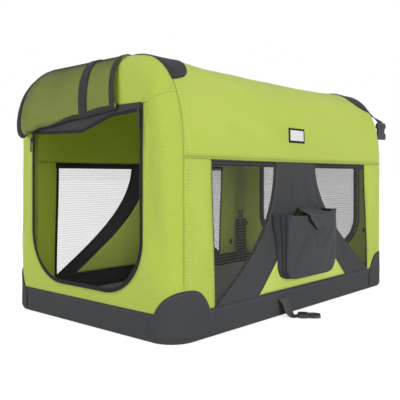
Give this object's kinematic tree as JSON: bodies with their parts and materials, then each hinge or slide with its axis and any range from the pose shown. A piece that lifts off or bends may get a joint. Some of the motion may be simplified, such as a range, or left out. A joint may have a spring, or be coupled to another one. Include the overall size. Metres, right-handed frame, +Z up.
{
  "type": "folding soft pet carrier",
  "caption": "Folding soft-sided pet carrier with mesh windows, a flipped-up front door, a zipped rear door and a side pocket, on a tube frame that folds flat",
  "frame": {"origin": "centre of the flat underside, on the ground", "axes": "+X from the front door to the rear door, +Y to the left side, +Z up; the pocket is on the right side, at -Y"},
  "size_m": [0.854, 0.5555, 0.5071],
  "materials": {
    "lime_oxford": "woven polyester, matt",
    "charcoal_oxford": "woven polyester, matt",
    "black_mesh": "open polyester mesh",
    "charcoal_webbing": "woven webbing",
    "coated_steel": "dark powder coat",
    "black_plastic": "moulded, matt",
    "dark_zinc": "dark plated",
    "black_board": "matt sheet",
    "grey_fleece": "napped pile"
  },
  "bodies": {
    "carrier": {"base_rail_left": "coated_steel", "base_rail_right": "coated_steel", "base_rail_front": "coated_steel", "base_rail_rear": "coated_steel", "hinge_bracket_front_right": "black_plastic", "hinge_bracket_front_left": "black_plastic", "hinge_bracket_rear_right": "black_plastic", "hinge_bracket_rear_left": "black_plastic", "front_zip_track": "black_plastic", "rear_zip_track": "black_plastic", "hinge_pin_front_right": "dark_zinc", "hinge_pin_front_left": "dark_zinc", "hinge_pin_rear_right": "dark_zinc", "hinge_pin_rear_left": "dark_zinc", "roof_panel": "lime_oxford", "front_panel": "lime_oxford", "rear_panel": "lime_oxford", "side_strip_front_right": "lime_oxford", "side_strip_front_left": "lime_oxford", "side_strip_rear_right": "lime_oxford", "side_strip_rear_left": "lime_oxford", "base_tub": "charcoal_oxford", "pocket": "charcoal_oxford", "centre_panel_right": "charcoal_oxford", "centre_panel_left": "charcoal_oxford", "bottom_corner_patch_front_right": "charcoal_oxford", "bottom_corner_patch_front_left": "charcoal_oxford", "bottom_corner_patch_rear_right": "charcoal_oxford", "bottom_corner_patch_rear_left": "charcoal_oxford", "top_corner_patch_front_right": "charcoal_oxford", "top_corner_patch_front_left": "charcoal_oxford", "top_corner_patch_rear_right": "charcoal_oxford", "top_corner_patch_rear_left": "charcoal_oxford", "window_front_right": "black_mesh", "window_front_left": "black_mesh", "window_rear_right": "black_mesh", "window_rear_left": "black_mesh", "rear_door": "black_mesh", "front_door_roll": "black_mesh", "roll_strap": "charcoal_webbing", "label_patch": "charcoal_webbing", "floor_board": "black_board", "floor_mat": "grey_fleece"},
    "front_frame": {"front_hoop": "coated_steel"},
    "rear_frame": {"rear_hoop": "coated_steel"},
    "flap": {"pocket_flap": "charcoal_oxford"},
    "side_tie": {"side_strap": "charcoal_webbing", "side_buckle": "black_plastic"},
    "rear_tie": {"rear_strap": "charcoal_webbing", "rear_buckle": "black_plastic"},
    "knob_front_right": {"lock_knob_front_right": "black_plastic"},
    "knob_front_left": {"lock_knob_front_left": "black_plastic"},
    "knob_rear_right": {"lock_knob_rear_right": "black_plastic"},
    "knob_rear_left": {"lock_knob_rear_left": "black_plastic"},
    "slider_front_right": {"front_zip_slider_right": "dark_zinc"},
    "pull_front_right": {"front_zip_pull_right": "dark_zinc"},
    "slider_rear_right": {"rear_zip_slider_right": "dark_zinc"},
    "slider_front_left": {"front_zip_slider_left": "dark_zinc"},
    "pull_front_left": {"front_zip_pull_left": "dark_zinc"},
    "slider_rear_left": {"rear_zip_slider_left": "dark_zinc"}
  },
  "joints": [
    {"name": "fold_front", "type": "hinge", "parent": "carrier", "child": "front_frame", "pos_m": [-0.369, 0, 0.036], "axis": [0, 1, 0], "range_deg": [0, 90], "deforming": ["roof_panel", "front_panel", "rear_panel", "side_strip_front_right", "side_strip_front_left", "side_strip_rear_right", "side_strip_rear_left", "window_front_right", "window_front_left", "window_rear_right", "window_rear_left", "rear_door", "front_door_roll", "front_zip_track", "rear_zip_track", "roll_strap", "label_patch", "pocket", "centre_panel_right", "centre_panel_left", "top_corner_patch_front_right", "top_corner_patch_front_left", "top_corner_patch_rear_right", "top_corner_patch_rear_left"]},
    {"name": "fold_rear", "type": "hinge", "parent": "carrier", "child": "rear_frame", "pos_m": [0.369, 0, 0.116], "axis": [0, 1, 0], "range_deg": [-90, 0]},
    {"name": "pull_knob_front_right", "type": "slide", "parent": "carrier", "child": "knob_front_right", "axis": [0, 1, 0], "range_m": [0, 0.004], "stiffness_N_per_m": 500, "springref_m": -0.004},
    {"name": "pull_knob_front_left", "type": "slide", "parent": "carrier", "child": "knob_front_left", "axis": [0, -1, 0], "range_m": [0, 0.004], "stiffness_N_per_m": 500, "springref_m": -0.004},
    {"name": "pull_knob_rear_right", "type": "slide", "parent": "carrier", "child": "knob_rear_right", "axis": [0, 1, 0], "range_m": [0, 0.004], "stiffness_N_per_m": 500, "springref_m": -0.004},
    {"name": "pull_knob_rear_left", "type": "slide", "parent": "carrier", "child": "knob_rear_left", "axis": [0, -1, 0], "range_m": [0, 0.004], "stiffness_N_per_m": 500, "springref_m": -0.004},
    {"name": "front_zip_right", "type": "slide", "parent": "carrier", "child": "slider_front_right", "axis": [0, 0, -1], "range_m": [0, 0.215]},
    {"name": "front_pull_right", "type": "hinge", "parent": "slider_front_right", "child": "pull_front_right", "pos_m": [-0.4068, -0.164, 0.3985], "axis": [0, 1, 0], "range_deg": [0, 100]},
    {"name": "front_zip_left", "type": "slide", "parent": "carrier", "child": "slider_front_left", "axis": [0, 0, -1], "range_m": [0, 0.178]},
    {"name": "front_pull_left", "type": "hinge", "parent": "slider_front_left", "child": "pull_front_left", "pos_m": [-0.4068, 0.164, 0.3585], "axis": [0, 1, 0], "range_deg": [0, 100]},
    {"name": "rear_zip_right", "type": "slide", "parent": "carrier", "child": "slider_rear_right", "axis": [0, -1, 0], "range_m": [0, 0.049]},
    {"name": "rear_zip_left", "type": "slide", "parent": "carrier", "child": "slider_rear_left", "axis": [0, 1, 0], "range_m": [0, 0.049]},
    {"name": "pocket_flap_lift", "type": "hinge", "parent": "carrier", "child": "flap", "pos_m": [0.014, -0.2701, 0.206], "axis": [-1, 0, 0], "range_deg": [0, 150]},
    {"name": "side_strap_lift", "type": "hinge", "parent": "carrier", "child": "side_tie", "pos_m": [-0.092, -0.2421, 0.036], "axis": [-1, 0, 0], "range_deg": [0, 60]},
    {"name": "rear_strap_lift", "type": "hinge", "parent": "carrier", "child": "rear_tie", "pos_m": [0.38613, -0.19849, 0.452], "axis": [-0.7071, -0.7071, 0], "range_deg": [0, 90]}
  ],
  "couplings": [
    {"joint": "fold_rear", "follows": "fold_front", "ratio": -1}
  ]
}
